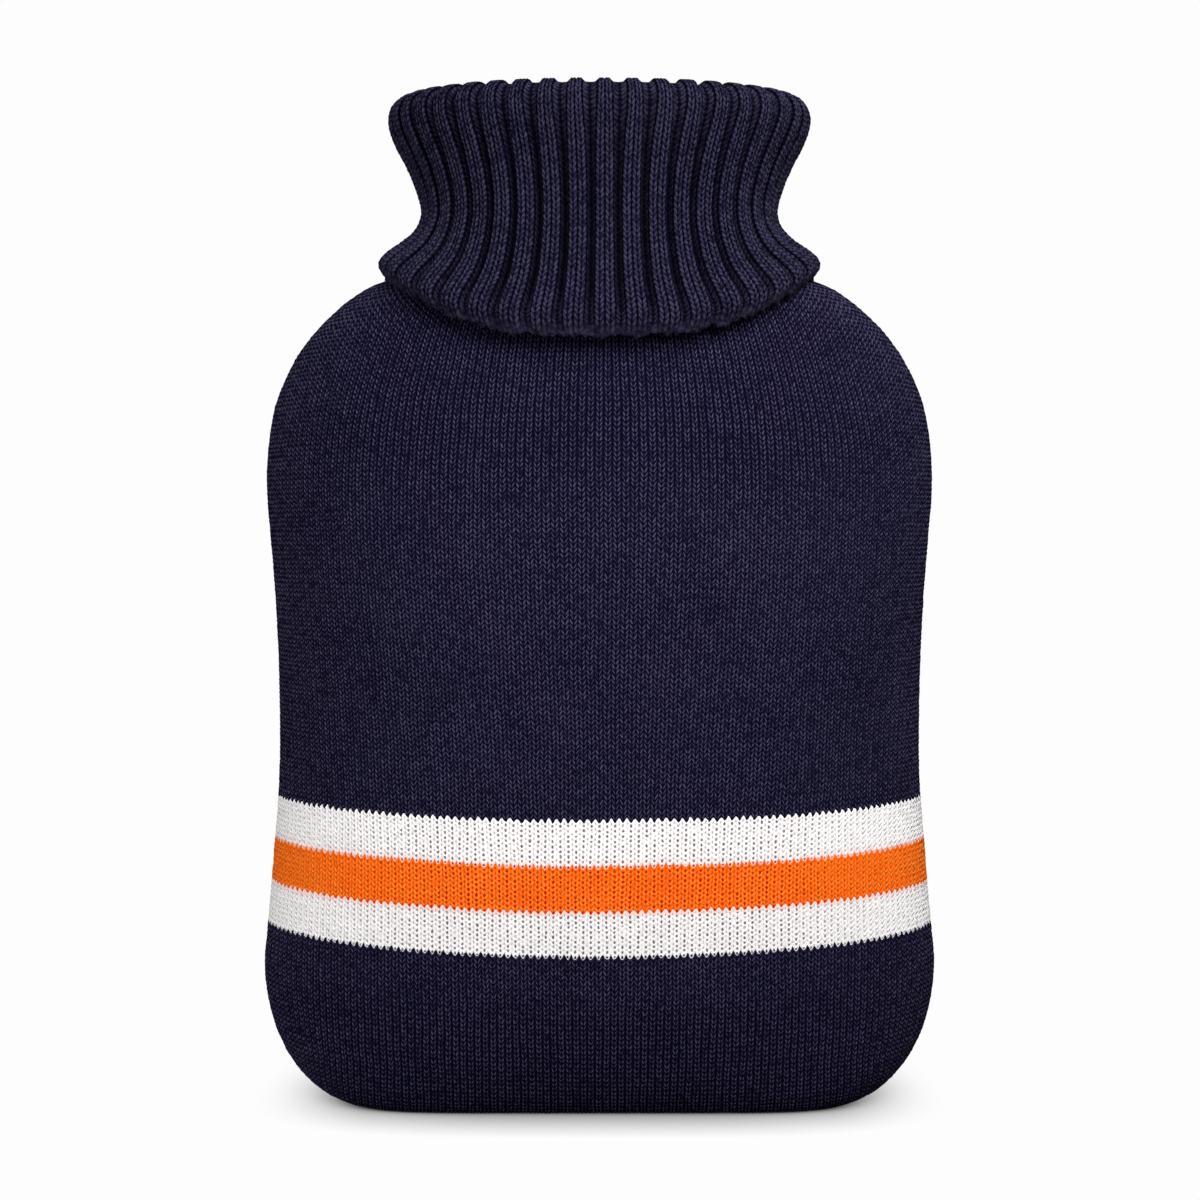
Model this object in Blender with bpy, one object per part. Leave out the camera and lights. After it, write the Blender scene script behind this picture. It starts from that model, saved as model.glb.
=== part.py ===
"""Knitted hot water bottle cover, standing on its base as if filled.

Three knitted pieces: a front panel and a back panel that meet in a seam round the sides and
under the base, and a ribbed roll-neck collar that rises from their neck edge, folds outward
over the brim and hangs down to a flared hem.

Metres, +Z up. The front faces -Y, the width runs along X, and the origin is the centre of the base.
"""

from collections import namedtuple

import bpy
import numpy as np

# Driving dimensions
SEAM_GAP = 0.0003  # between pieces that are sewn together
PANEL_WALL = 0.0022  # stockinette, knitted thick
COLLAR_WALL = 0.0034  # rib knit, from the top of a rib to the hidden face
RIB_DEPTH = 0.0017  # how far a channel sinks below its ribs
RIB_COUNT = 44
RIB_TOP_SHARE = 0.54  # part of a rib's pitch that stands at full height
RIB_SHIFT = 0.19  # turns the ribs by this share of a pitch, so that no rib sits dead centre
FRONT_SPREAD = 0.09  # ribs at the front and back lie this much wider apart than the mean

BASE_HALF_WIDTH = 0.083  # the flat that the cover stands on
BASE_HALF_DEPTH = 0.0345
BASE_FLATNESS, BASE_EDGE = 8.0, 2.4  # its outline, nearly a rectangle with round corners
BASE_SEAM_HALF_WIDTH = 0.074
HEEL_POWER = 2.15  # 2 is a quarter ellipse, more is squarer
HEEL_ROWS = 8

PANEL_COLUMNS = 25
COLLAR_ROWS = 16
HEM_DROOP_POWER = 2.9  # how fast the hem rises from the front to the sides
CURVE_STEPS = 720  # fine steps along a half turn, from which evenly spaced points are read
LEAST_SIDE_WALL = 0.35  # share of the wall by which a section narrows, at the least
SMOOTH_ANGLE = 50  # degrees, sharper edges than this stay sharp

# Level sections of the bag from the hip to the neck. A section is the curve
# |x / half_width| ** flatness + |y / half_depth| ** edge = 1: a high flatness keeps the front
# flat, and a low edge brings the two panels to a closer corner at the side seam.
Section = namedtuple("Section", "height half_width half_depth flatness edge")
BAG_SECTIONS = (
    Section(0.0460, 0.1146, 0.0465, 2.8, 1.55),  # hip
    Section(0.0640, 0.1128, 0.0470, 2.8, 1.55),
    Section(0.0850, 0.1109, 0.0470, 2.8, 1.55),  # stripes
    Section(0.1070, 0.1092, 0.0465, 2.8, 1.55),
    Section(0.1270, 0.1089, 0.0462, 2.8, 1.55),  # waist
    Section(0.1480, 0.1093, 0.0464, 2.8, 1.55),
    Section(0.1700, 0.1103, 0.0470, 2.8, 1.55),
    Section(0.1900, 0.1118, 0.0475, 2.8, 1.55),
    Section(0.2080, 0.1129, 0.0476, 2.8, 1.55),  # chest
    Section(0.2210, 0.1121, 0.0472, 2.8, 1.55),
    Section(0.2320, 0.1101, 0.0464, 2.8, 1.57),
    Section(0.2415, 0.1067, 0.0453, 2.7, 1.60),  # shoulder
    Section(0.2500, 0.1022, 0.0440, 2.6, 1.63),
    Section(0.2575, 0.0967, 0.0426, 2.4, 1.68),
    Section(0.2640, 0.0903, 0.0414, 2.3, 1.73),
    Section(0.2692, 0.0838, 0.0405, 2.2, 1.80),
    Section(0.2728, 0.0780, 0.0402, 2.1, 1.86),
    Section(0.2760, 0.0682, 0.0402, 2.0, 1.92),
    Section(0.2800, 0.0585, 0.0405, 2.0, 1.96),
    Section(0.2865, 0.0530, 0.0415, 2.0, 2.00),  # neck edge, under the collar
)

# The collar's show face from the hem up over the brim and down inside to the root. Each row is
# one closed ring, |x / side_width| ** plan + |y / front_depth| ** plan = 1, whose height differs
# between the sides and the front. Relief is the share of the full rib depth.
Ring = namedtuple("Ring", "side_width side_height front_depth front_height plan relief")
COLLAR_RINGS = (
    Ring(0.0722, 0.2769, 0.0522, 0.2545, 2.55, 0.35),  # hem lip
    Ring(0.0741, 0.2800, 0.0540, 0.2581, 2.55, 0.80),
    Ring(0.0690, 0.2862, 0.0528, 0.2665, 2.50, 1.00),  # flare
    Ring(0.0624, 0.2915, 0.0498, 0.2765, 2.40, 1.00),
    Ring(0.0600, 0.2966, 0.0477, 0.2875, 2.3, 1.00),  # waist
    Ring(0.0610, 0.3035, 0.0470, 0.2990, 2.2, 1.00),
    Ring(0.0638, 0.3110, 0.0478, 0.3095, 2.2, 1.00),
    Ring(0.0677, 0.3187, 0.0496, 0.3185, 2.2, 1.00),
    Ring(0.0705, 0.3255, 0.0514, 0.3257, 2.2, 0.95),
    Ring(0.0708, 0.3302, 0.0518, 0.3304, 2.2, 0.80),  # brim
    Ring(0.0685, 0.3344, 0.0498, 0.3346, 2.2, 0.60),
    Ring(0.0640, 0.3361, 0.0458, 0.3363, 2.2, 0.40),  # top of the fold
    Ring(0.0592, 0.3344, 0.0424, 0.3344, 2.2, 0.30),
    Ring(0.0562, 0.3288, 0.0402, 0.3288, 2.2, 0.20),  # mouth
    Ring(0.0540, 0.3170, 0.0394, 0.3170, 2.1, 0.00),
    Ring(0.0522, 0.3020, 0.0394, 0.3020, 2.0, 0.00),  # throat
    Ring(0.0515, 0.2868, 0.0399, 0.2868, 2.0, 0.00),  # root, above the panels' neck edge
)

NAVY = (0.0144, 0.0130, 0.0319)  # linear, a dark ink blue
KNIT_ROUGHNESS = 0.95


def clear_scene():
    for obj in list(bpy.data.objects):
        bpy.data.objects.remove(obj, do_unlink=True)


def knit_material(name, colour):
    material = bpy.data.materials.new(name)
    material.use_nodes = True
    shader = material.node_tree.nodes["Principled BSDF"]
    shader.inputs["Base Color"].default_value = (*colour, 1.0)
    shader.inputs["Roughness"].default_value = KNIT_ROUGHNESS
    shader.inputs["Metallic"].default_value = 0.0
    return material


def add_piece(name, points, faces, material):
    """One closed mesh object, shaded smooth across its gentler edges."""
    mesh = bpy.data.meshes.new(name)
    mesh.from_pydata(points.tolist(), [], faces.tolist())
    mesh.validate()
    mesh.shade_smooth()
    mesh.set_sharp_from_angle(angle=np.radians(SMOOTH_ANGLE))
    mesh.materials.append(material)
    piece = bpy.data.objects.new(name, mesh)
    bpy.context.scene.collection.objects.link(piece)
    return piece


def smooth_rows(rows, count):
    """The rows of a table read along a natural cubic spline, at count even steps of its length."""
    rows = np.array(rows, float)
    knots = np.concatenate([[0], np.cumsum(np.linalg.norm(np.diff(rows[:, :2], axis=0), axis=1))])
    step = np.diff(knots)
    slope = np.diff(rows, axis=0) / step[:, None]
    bend = np.zeros_like(rows)
    system = np.diag(2 * (step[:-1] + step[1:])) + np.diag(step[1:-1], 1) + np.diag(step[1:-1], -1)
    bend[1:-1] = np.linalg.solve(system, 6 * np.diff(slope, axis=0))
    at = np.linspace(0, knots[-1], count)
    span = np.clip(np.searchsorted(knots, at, side="right") - 1, 0, len(step) - 1)
    width = step[span, None]
    ahead = (at - knots[span])[:, None] / width
    behind = 1 - ahead
    return (
        behind * rows[span]
        + ahead * rows[span + 1]
        + width**2 / 6 * ((behind**3 - behind) * bend[span] + (ahead**3 - ahead) * bend[span + 1])
    )


def quads(rows, columns, wrap=False):
    """Faces of a grid of rows by columns points, facing out where columns run anticlockwise."""
    row, column = np.mgrid[0 : rows - 1, 0 : columns if wrap else columns - 1]
    right = (column + 1) % columns
    corners = [row * columns + column, row * columns + right,
               (row + 1) * columns + right, (row + 1) * columns + column]
    return np.stack([corner.ravel() for corner in corners], axis=1)


def bag_rows():
    """Every level section of the bag, from the seam under the base to the neck edge."""
    seam = np.array([0, BASE_SEAM_HALF_WIDTH, SEAM_GAP, BASE_FLATNESS, 1.0])
    rim = np.array([0, BASE_HALF_WIDTH, BASE_HALF_DEPTH, BASE_FLATNESS, BASE_EDGE])
    hip = np.array(BAG_SECTIONS[0])
    turn = np.radians(np.linspace(0, 90, HEEL_ROWS + 1))[1:-1, None]
    heel = rim + (hip - rim) * np.sin(turn) ** (2 / HEEL_POWER)
    heel[:, :1] = hip[0] * (1 - np.cos(turn) ** (2 / HEEL_POWER))
    return np.array([seam, (seam + rim) / 2, rim, *heel, *BAG_SECTIONS])


def inset(sections, wall):
    """The same sections moved into the bag by the wall, along the normal of the mean profile."""
    height, half_width, half_depth = sections[:, 0], sections[:, 1], sections[:, 2]
    radius = (half_width + half_depth) / 2
    run, rise = np.gradient(radius), np.gradient(height)
    length = np.hypot(run, rise)
    inward, upward = rise / length, -run / length
    upward[height == 0] = -1.0
    inward[height == 0] = 0.0
    moved = sections.copy()
    moved[:, 0] = height - wall * upward
    moved[:, 1] = half_width - wall * np.maximum(inward, LEAST_SIDE_WALL)
    moved[:, 2] = np.maximum(half_depth - wall * inward, SEAM_GAP)
    moved[-1, 0] = height[-1]
    return moved


def section_points(sections, columns, side):
    """Points of one panel: each section from seam to seam, evenly spaced along its length."""
    rows = []
    for height, half_width, half_depth, flatness, edge in sections:
        turn = np.linspace(0, np.pi, CURVE_STEPS + 1)
        x = -np.cos(turn) * half_width
        y = np.maximum(1 - np.abs(np.cos(turn)) ** flatness, 0) ** (1 / edge) * half_depth
        length = np.concatenate([[0], np.cumsum(np.hypot(np.diff(x), np.diff(y)))])
        even = np.linspace(0, length[-1], columns)
        x, y = np.interp(even, length, x), np.interp(even, length, y)
        y = np.maximum(y, SEAM_GAP / 2)
        rows.append(np.stack([x, side * y, np.full(columns, height)], axis=1))
    return np.array(rows)


def make_panel(name, side, material):
    """One panel, a bowed sheet of even wall from the seam under the base to the neck."""
    sections = bag_rows()
    outer = section_points(sections, PANEL_COLUMNS, side)
    inner = section_points(inset(sections, PANEL_WALL), PANEL_COLUMNS, side)
    rows, columns = outer.shape[:2]
    points = np.concatenate([outer.reshape(-1, 3), inner.reshape(-1, 3)])
    grid = quads(rows, columns)
    below = rows * columns
    number = np.arange(below).reshape(rows, columns)
    rim = np.concatenate([number[0], number[1:, -1], number[-1, -2::-1], number[-2:0:-1, 0]])
    after = np.roll(rim, -1)
    edge = np.stack([after, rim, rim + below, after + below], axis=1)
    faces = np.concatenate([grid, grid[:, ::-1] + below, edge])
    return add_piece(name, points, faces if side < 0 else faces[:, ::-1], material)


def rib_stations():
    """Where the collar's columns lie, in pitches from the middle of the front, and their sink.

    Each rib has a flat top between two columns and one column at the bottom of its channel.
    """
    rib = np.arange(RIB_COUNT)[:, None]
    place = np.array([-RIB_TOP_SHARE / 2, RIB_TOP_SHARE / 2, 0.5])
    sink = np.array([0.0, 0.0, 1.0])
    return (rib + place + RIB_SHIFT).ravel(), np.tile(sink, RIB_COUNT)


def ring_points(ring, stations):
    """One ring of the collar, its stations spread along the length with the front's wider."""
    side_width, side_height, front_depth, front_height, plan, _ = ring
    turn = np.linspace(0, 2 * np.pi, 2 * CURVE_STEPS + 1)
    sine, cosine = np.sin(turn), np.cos(turn)
    x = side_width * np.sign(sine) * np.abs(sine) ** (2 / plan)
    y = -front_depth * np.sign(cosine) * np.abs(cosine) ** (2 / plan)
    pace = np.hypot(np.diff(x), np.diff(y))
    middle = (turn[1:] + turn[:-1]) / 2
    count = np.concatenate([[0], np.cumsum(pace / (1 + FRONT_SPREAD * np.cos(2 * middle)))])
    at = (stations / RIB_COUNT) % 1 * count[-1]
    x, y = np.interp(at, count, x), np.interp(at, count, y)
    droop = 1 - np.abs(x / side_width) ** HEM_DROOP_POWER
    return np.stack([x, y, side_height + (front_height - side_height) * droop], axis=1)


def outward(grid):
    """Unit normals of a grid of closed rings."""
    around = np.roll(grid, -1, axis=1) - np.roll(grid, 1, axis=1)
    along = np.gradient(grid, axis=0)
    normal = np.cross(around, along)
    return normal / np.linalg.norm(normal, axis=2, keepdims=True)


def make_collar(material):
    """The roll-neck: one thick sheet from hem to root, its show face raised in ribs."""
    stations, sink = rib_stations()
    rings = smooth_rows(COLLAR_RINGS, COLLAR_ROWS)
    plain = np.array([ring_points(ring, stations) for ring in rings])
    normal = outward(plain)
    relief = np.clip(rings[:, 5], 0, 1)[:, None] * sink[None, :] * RIB_DEPTH
    show = plain - normal * relief[:, :, None]
    hidden = plain - normal * COLLAR_WALL
    hidden[-1, :, 2] = COLLAR_RINGS[-1].side_height
    loop = np.concatenate([show, hidden[::-1]])
    rows, columns = loop.shape[:2]
    faces = quads(rows + 1, columns, wrap=True) % (rows * columns)
    return add_piece("collar", loop.reshape(-1, 3), faces, material)


def main():
    clear_scene()
    navy = knit_material("navy stockinette", NAVY)
    navy_rib = knit_material("navy rib", NAVY)
    make_panel("front_panel", -1, navy)
    make_panel("back_panel", 1, navy)
    make_collar(navy_rib)


main()
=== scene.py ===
# %% [markdown]
# # A knitted hot water bottle cover
#
# The cover is three pieces of machine knitting: a front panel and a back panel in stockinette,
# with a white, orange and white band knitted in, and a ribbed roll-neck collar. Every stitch is
# modelled: a knitted fabric is a grid, so one array holds all of its loops. The frame loaded below
# is the plain solid model, and each knitted piece takes the place of one of its solids.

# %% Load the frame
from collections import namedtuple

import bpy
import numpy as np
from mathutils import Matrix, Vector


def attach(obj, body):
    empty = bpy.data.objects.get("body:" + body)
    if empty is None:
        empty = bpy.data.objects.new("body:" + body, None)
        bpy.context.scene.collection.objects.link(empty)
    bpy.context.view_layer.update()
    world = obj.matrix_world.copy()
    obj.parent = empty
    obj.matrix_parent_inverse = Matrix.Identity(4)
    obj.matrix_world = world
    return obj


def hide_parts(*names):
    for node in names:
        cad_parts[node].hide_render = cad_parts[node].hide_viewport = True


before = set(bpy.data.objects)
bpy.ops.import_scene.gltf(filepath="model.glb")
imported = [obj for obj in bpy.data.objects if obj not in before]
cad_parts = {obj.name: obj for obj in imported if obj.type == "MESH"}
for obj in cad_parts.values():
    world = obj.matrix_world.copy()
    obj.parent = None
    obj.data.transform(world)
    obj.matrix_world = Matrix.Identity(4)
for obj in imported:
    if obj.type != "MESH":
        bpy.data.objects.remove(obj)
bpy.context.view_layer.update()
MM = 0.001

# %% [markdown]
# ## Camera
#
# A long lens from the front, a little above the middle of the cover and tilted down by a few
# degrees. The tilt does what a lens shift would do for the framing, and it keeps every other
# view centred.

# %% Camera
PHOTO_SIDE = 1200  # pixels, the picture is square
FOCAL_PIXELS = 2500
HORIZON_ROW = 491
SENSOR = 36.0  # mm
EYE = Vector((0.0002, -0.85, 0.2045))


def make_camera():
    """A camera at EYE, tilted so that the horizon falls on HORIZON_ROW of the picture."""
    data = bpy.data.cameras.new("camera")
    data.sensor_width = SENSOR
    data.lens = SENSOR * FOCAL_PIXELS / PHOTO_SIDE
    data.clip_end = 50.0
    camera = bpy.data.objects.new("camera", data)
    bpy.context.scene.collection.objects.link(camera)
    camera.location = EYE
    tilt = np.arctan((PHOTO_SIDE / 2 - HORIZON_ROW) / FOCAL_PIXELS)
    camera.rotation_euler = (np.pi / 2 - tilt, 0.0, 0.0)
    bpy.context.scene.camera = camera
    print(f"lens {data.lens:.0f} mm, tilted down {np.degrees(tilt):.1f} degrees")


make_camera()

# %% [markdown]
# ## One helper for colours and one for nodes
#
# Colours are written as sRGB hex, as a colour picker shows them, and turned linear once. A
# material is a small graph, and one function adds any node with its settings and its links.


# %% Colour and node helpers
def linear(hex_colour):
    """sRGB hex to linear RGBA: c/12.92 below 0.04045, and ((c + 0.055)/1.055)^2.4 above."""
    c = np.array([int(hex_colour[i : i + 2], 16) for i in (1, 3, 5)]) / 255
    c = np.where(c <= 0.04045, c / 12.92, ((c + 0.055) / 1.055) ** 2.4)
    return (*c.tolist(), 1.0)


def add(tree, kind, inputs=None, **settings):
    """Adds a node, sets it, fills its inputs with values or links, and returns its first output.

    An input is named, or counted among those in use.
    """
    made = tree.nodes.new(kind)
    for name, value in settings.items():
        setattr(made, name, value)
    used = [socket for socket in made.inputs if socket.enabled]
    for place, value in (inputs or {}).items():
        target = used[place] if isinstance(place, int) else made.inputs[place]
        if isinstance(value, bpy.types.NodeSocket):
            tree.links.new(value, target)
        else:
            target.default_value = value
    return next(socket for socket in made.outputs if socket.enabled)


def math(tree, operation, *values):
    return add(tree, "ShaderNodeMath", dict(enumerate(values)), operation=operation)


def mix(tree, share, first, second, kind="RGBA"):
    """A colour, or a number where kind is FLOAT, from first at share 0 to second at share 1."""
    return add(tree, "ShaderNodeMix", {0: share, 1: first, 2: second}, data_type=kind)


# %% [markdown]
# ## The bag's shape
#
# Filled, the cover is a soft lens: flat in the middle of its front, and drawn to a seam at each
# side. A level section of it is the curve |x / half_width|^flatness + |y / half_depth|^edge = 1.
# The table lists such sections from the hip to the neck, and a natural cubic spline runs through
# them. Under the hip the heel is a quarter of a superellipse that rolls onto the flat base.

# %% Sections of the bag
Section = namedtuple("Section", "height half_width half_depth flatness edge")
BAG_SECTIONS = (
    Section(0.0460, 0.1146, 0.0465, 2.8, 1.55),  # hip
    Section(0.0640, 0.1128, 0.0470, 2.8, 1.55),
    Section(0.0850, 0.1109, 0.0470, 2.8, 1.55),  # stripes
    Section(0.1070, 0.1092, 0.0465, 2.8, 1.55),
    Section(0.1270, 0.1089, 0.0462, 2.8, 1.55),  # waist
    Section(0.1480, 0.1093, 0.0464, 2.8, 1.55),
    Section(0.1700, 0.1103, 0.0470, 2.8, 1.55),
    Section(0.1900, 0.1118, 0.0475, 2.8, 1.55),
    Section(0.2080, 0.1129, 0.0476, 2.8, 1.55),  # chest
    Section(0.2210, 0.1121, 0.0472, 2.8, 1.55),
    Section(0.2320, 0.1101, 0.0464, 2.8, 1.57),
    Section(0.2415, 0.1067, 0.0453, 2.7, 1.60),  # shoulder
    Section(0.2500, 0.1022, 0.0440, 2.6, 1.63),
    Section(0.2575, 0.0967, 0.0426, 2.4, 1.68),
    Section(0.2640, 0.0903, 0.0414, 2.3, 1.73),
    Section(0.2692, 0.0838, 0.0405, 2.2, 1.80),
    Section(0.2728, 0.0780, 0.0402, 2.1, 1.86),
    Section(0.2760, 0.0682, 0.0402, 2.0, 1.92),
    Section(0.2800, 0.0585, 0.0405, 2.0, 1.96),
    Section(0.2865, 0.0530, 0.0415, 2.0, 2.00),  # neck edge, under the collar
)
BASE_HALF_WIDTH, BASE_HALF_DEPTH = 0.083, 0.0345  # the flat that the cover stands on
BASE_FLATNESS, BASE_EDGE = 8.0, 2.4
BASE_SEAM_HALF_WIDTH = 0.074
HEEL_POWER = 2.15  # 2 rolls as a quarter ellipse, and more is squarer
SEAM_GAP = 0.0003  # between the two panels
print(f"{len(BAG_SECTIONS)} sections, {2 * BAG_SECTIONS[0].half_width:.3f} m wide at the hip")


def smooth_rows(rows, count):
    """The rows of a table read along a natural cubic spline, at count even steps of its length."""
    rows = np.array(rows, float)
    knots = np.concatenate([[0], np.cumsum(np.linalg.norm(np.diff(rows[:, :2], axis=0), axis=1))])
    step = np.diff(knots)
    slope = np.diff(rows, axis=0) / step[:, None]
    bend = np.zeros_like(rows)
    system = np.diag(2 * (step[:-1] + step[1:])) + np.diag(step[1:-1], 1) + np.diag(step[1:-1], -1)
    bend[1:-1] = np.linalg.solve(system, 6 * np.diff(slope, axis=0))
    at = np.linspace(0, knots[-1], count)
    span = np.clip(np.searchsorted(knots, at, side="right") - 1, 0, len(step) - 1)
    width = step[span, None]
    ahead = (at - knots[span])[:, None] / width
    behind = 1 - ahead
    return (
        behind * rows[span]
        + ahead * rows[span + 1]
        + width**2 / 6 * ((behind**3 - behind) * bend[span] + (ahead**3 - ahead) * bend[span + 1])
    )


# %% [markdown]
# The panel is knitted from its base seam upwards, so its rows are counted along the line up the
# middle of the front. The sections are therefore read again at even steps of that line's length,
# and each one at even shares of its own half length. The result is a fine table of points, and
# any place on the panel is looked up in it by two numbers: how far along, and how far across.

# %% A table of the bag's surface
TABLE_STEP = 0.5 * MM
ACROSS_STEPS = 320
BASE_STEPS, HEEL_STEPS, BAG_STEPS = 40, 200, 900  # sections read before they are evened out
TURN_STEPS = 1200  # points of one section before they are evened out


def bag_profile():
    """Sections from the base seam to the neck edge, at even steps of the front middle line."""
    hip = BAG_SECTIONS[0]
    share = np.linspace(0, 1, BASE_STEPS)[:, None]
    seam = np.array([0, BASE_SEAM_HALF_WIDTH, SEAM_GAP / 2, BASE_FLATNESS, 1.0])
    rim = np.array([0, BASE_HALF_WIDTH, BASE_HALF_DEPTH, BASE_FLATNESS, BASE_EDGE])
    base = seam * (1 - share) + rim * share
    turn = np.linspace(0, np.pi / 2, HEEL_STEPS)[1:-1, None]
    reach = np.sin(turn) ** (2 / HEEL_POWER)
    rise = 1 - np.cos(turn) ** (2 / HEEL_POWER)
    heel = rim + (np.array(hip) - rim) * np.concatenate([rise, reach, reach, reach, reach], axis=1)
    rows = np.concatenate([base, heel, smooth_rows(BAG_SECTIONS, BAG_STEPS)])
    length = np.concatenate([[0], np.cumsum(np.hypot(np.diff(rows[:, 0]), np.diff(rows[:, 2])))])
    even = np.arange(0, length[-1] + TABLE_STEP / 2, TABLE_STEP)
    return np.stack([np.interp(even, length, column) for column in rows.T], axis=1)


def bag_surface(profile):
    """Points of the right half of the front, [along, across, xyz], and each row's half length."""
    turn = np.linspace(0, np.pi / 2, TURN_STEPS)
    height, half_width, half_depth, flatness, edge = profile.T[:, :, None]
    x = half_width * np.sin(turn)
    y = half_depth * (1 - np.sin(turn) ** flatness) ** (1 / edge)
    run = np.cumsum(np.hypot(np.diff(x, axis=1), np.diff(y, axis=1)), axis=1)
    run = np.concatenate([np.zeros((len(x), 1)), run], axis=1)
    even = np.linspace(0, 1, ACROSS_STEPS + 1)
    rows = np.array([
        [np.interp(even * r[-1], r, a), np.interp(even * r[-1], r, -b)]
        for r, a, b in zip(run, x, y)
    ])
    level = np.broadcast_to(height, rows[:, 0].shape)
    return np.stack([rows[:, 0], rows[:, 1], level], axis=2), run[:, -1]


def outward(points):
    """Unit normals of a grid whose columns run right and whose rows run up, seen from outside."""
    across = np.gradient(points, axis=1)
    along = np.gradient(points, axis=0)
    normal = np.cross(across, along)
    return normal / np.maximum(np.linalg.norm(normal, axis=2, keepdims=True), 1e-12)


def look_up(table, row, column):
    """Reads a table between its entries: the four nearest, weighted by how near they are."""
    row = np.clip(row, 0, table.shape[0] - 1.001)
    column = np.clip(column, 0, table.shape[1] - 1.001)
    i, j = row.astype(int), column.astype(int)
    a, b = (row - i)[..., None], (column - j)[..., None]
    low = table[i, j] * (1 - b) + table[i, j + 1] * b
    high = table[i + 1, j] * (1 - b) + table[i + 1, j + 1] * b
    return low * (1 - a) + high * a


PROFILE = bag_profile()
BAG_POINTS, HALF_LENGTH = bag_surface(PROFILE)
BAG_NORMALS = outward(BAG_POINTS)
BAG_NORMALS[:, 0, 0] = 0.0  # the left half mirrors the right one, so the middle faces straight on
LINE_LENGTH = (len(PROFILE) - 1) * TABLE_STEP
print(f"from base seam to neck edge {LINE_LENGTH / MM:.0f} mm, half round the hip "
      f"{HALF_LENGTH.max() / MM:.0f} mm")

# %% [markdown]
# ## How the stitches lie
#
# A column of stitches is a wale and a row is a course. Courses are 1.63 mm apart and bow a little
# near the seams: up at the band, and down at the neck. Up the middle a wale is 2.5 mm wide at the
# foot and 2.85 mm at the chest, where the bottle stretches it, and towards the neck the wales draw
# together. The same number of wales has to fit at every height, so those near the sides give way
# a little: the place of wale k is pitch * k - ease * k^3 along the section. At the shoulders and
# the heel, wales run into the seam.

# %% Wale places
COURSE = 1.63 * MM
BAND_FOOT = 0.0531  # metres, height of the band's lower edge at the front
BAND_COURSES = 9  # in each of the three stripes
WIDEST_WALE = 53
WaleRow = namedtuple("WaleRow", "height pitch ease")  # mm for pitch, and mm per 100000 for ease
WALE_ROWS = (
    WaleRow(0.000, 2.44, 0.0),
    WaleRow(0.050, 2.48, 1.0),
    WaleRow(0.100, 2.54, 2.5),
    WaleRow(0.150, 2.70, 8.0),
    WaleRow(0.185, 2.83, 12.0),
    WaleRow(0.210, 2.85, 12.5),
    WaleRow(0.232, 2.76, 10.0),
    WaleRow(0.248, 2.58, 5.0),
    WaleRow(0.262, 2.38, 0.0),
    WaleRow(0.287, 1.95, 0.0),
)
BOW_AT_BAND, BOW_AT_NECK = 4.4 * MM, -5.5 * MM  # how far the courses rise towards the seams
BOW_POWER = 1.6  # above 1, most of that rise is near the seams
CURVE_STEPS = 400


def soft_curve(heights, column):
    """A column of the table of wales read at heights, as a spline through its rows."""
    rows = np.array(WALE_ROWS)
    fine = smooth_rows(np.stack([rows[:, 0] / MM, rows[:, column]], axis=1), CURVE_STEPS)
    return np.interp(heights / MM, fine[:, 0], fine[:, 1])


PITCH = soft_curve(PROFILE[:, 0], 1) * MM
EASE = np.maximum(soft_curve(PROFILE[:, 0], 2), 0) * MM * 1e-5
FOOT_LENGTH = np.interp(BAND_FOOT, PROFILE[:, 0], np.arange(len(PROFILE)) * TABLE_STEP)
FIRST_COURSE = -int(FOOT_LENGTH / COURSE)
LAST_COURSE = int((LINE_LENGTH - FOOT_LENGTH) / COURSE)
BAND_TOP = 3 * BAND_COURSES
print(f"{-FIRST_COURSE} courses below the band, {BAND_TOP} in it, {LAST_COURSE - BAND_TOP} above")

# %% [markdown]
# ## One stitch, eight points
#
# Seen from its right side, a stitch is a V: two plump legs that rise from the middle of the wale
# to its edges. The rows of the grid follow that zigzag, so a colour change gets its true toothed
# edge. Four columns by two rows carry the height of one V. The legs stand highest, there is a
# hole in the middle of the V between them, and a fainter one at the wale's edge, between one
# arch and the next. Seeded differences, some from loop to loop and some that drift over many
# loops, keep the knitting from looking stamped.

# %% Relief of the stitches
ZIGZAG = 0.85  # courses that a leg's row rises from the middle of the wale to its edge
RELIEF = 0.62 * MM
#                  middle  leg  edge  leg
STITCH_HEIGHT = ((0.15, 0.85, 0.00, 0.85),  # between two courses
                 (-0.20, 1.00, 0.45, 1.00))  # along a course
COLUMNS_PER_WALE, ROWS_PER_COURSE = 4, 2
ON_SURFACE = 0.55  # the stitch height that lies on the bag's surface
CREST_LIMITS = (-0.6, 1.3)
# each layer is a strength and the rows and columns over which it changes
DRIFT = ((0.10, (46, 30)), (0.05, (9, 9)))  # wales sideways
LIFT = ((0.12, (30, 60)), (0.05, (3, 5)))  # courses upwards
PLUMPNESS = ((0.10, (60, 4)), (0.08, (3, 40)))  # share of a stitch's height
LOOSE_WALE, LOOSE_COURSE, LOOSE_HEIGHT = 0.025, 0.05, 0.07  # the same three, from point to point


def soft_noise(shape, cell, rng):
    """Noise that changes slowly: random values every cell points, blended in between."""
    rows, columns = (int(n / c) + 2 for n, c in zip(shape, cell))
    coarse = rng.normal(size=(rows, columns, 1))
    at_row, at_column = np.indices(shape)
    return look_up(coarse, at_row / cell[0], at_column / cell[1])[..., 0]


def wander(shape, layers, rng):
    """Layers of soft noise added up, each at its own strength."""
    return sum(strength * soft_noise(shape, cell, rng) for strength, cell in layers)


def zigzag(wale):
    """0 in the middle of a wale and 1 at its edges, straight in between."""
    return np.abs(2 * (wale - np.round(wale)))


def smoothstep(value):
    """3 v^2 - 2 v^3 of the value held between 0 and 1."""
    value = np.clip(value, 0, 1)
    return value * value * (3 - 2 * value)


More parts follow.
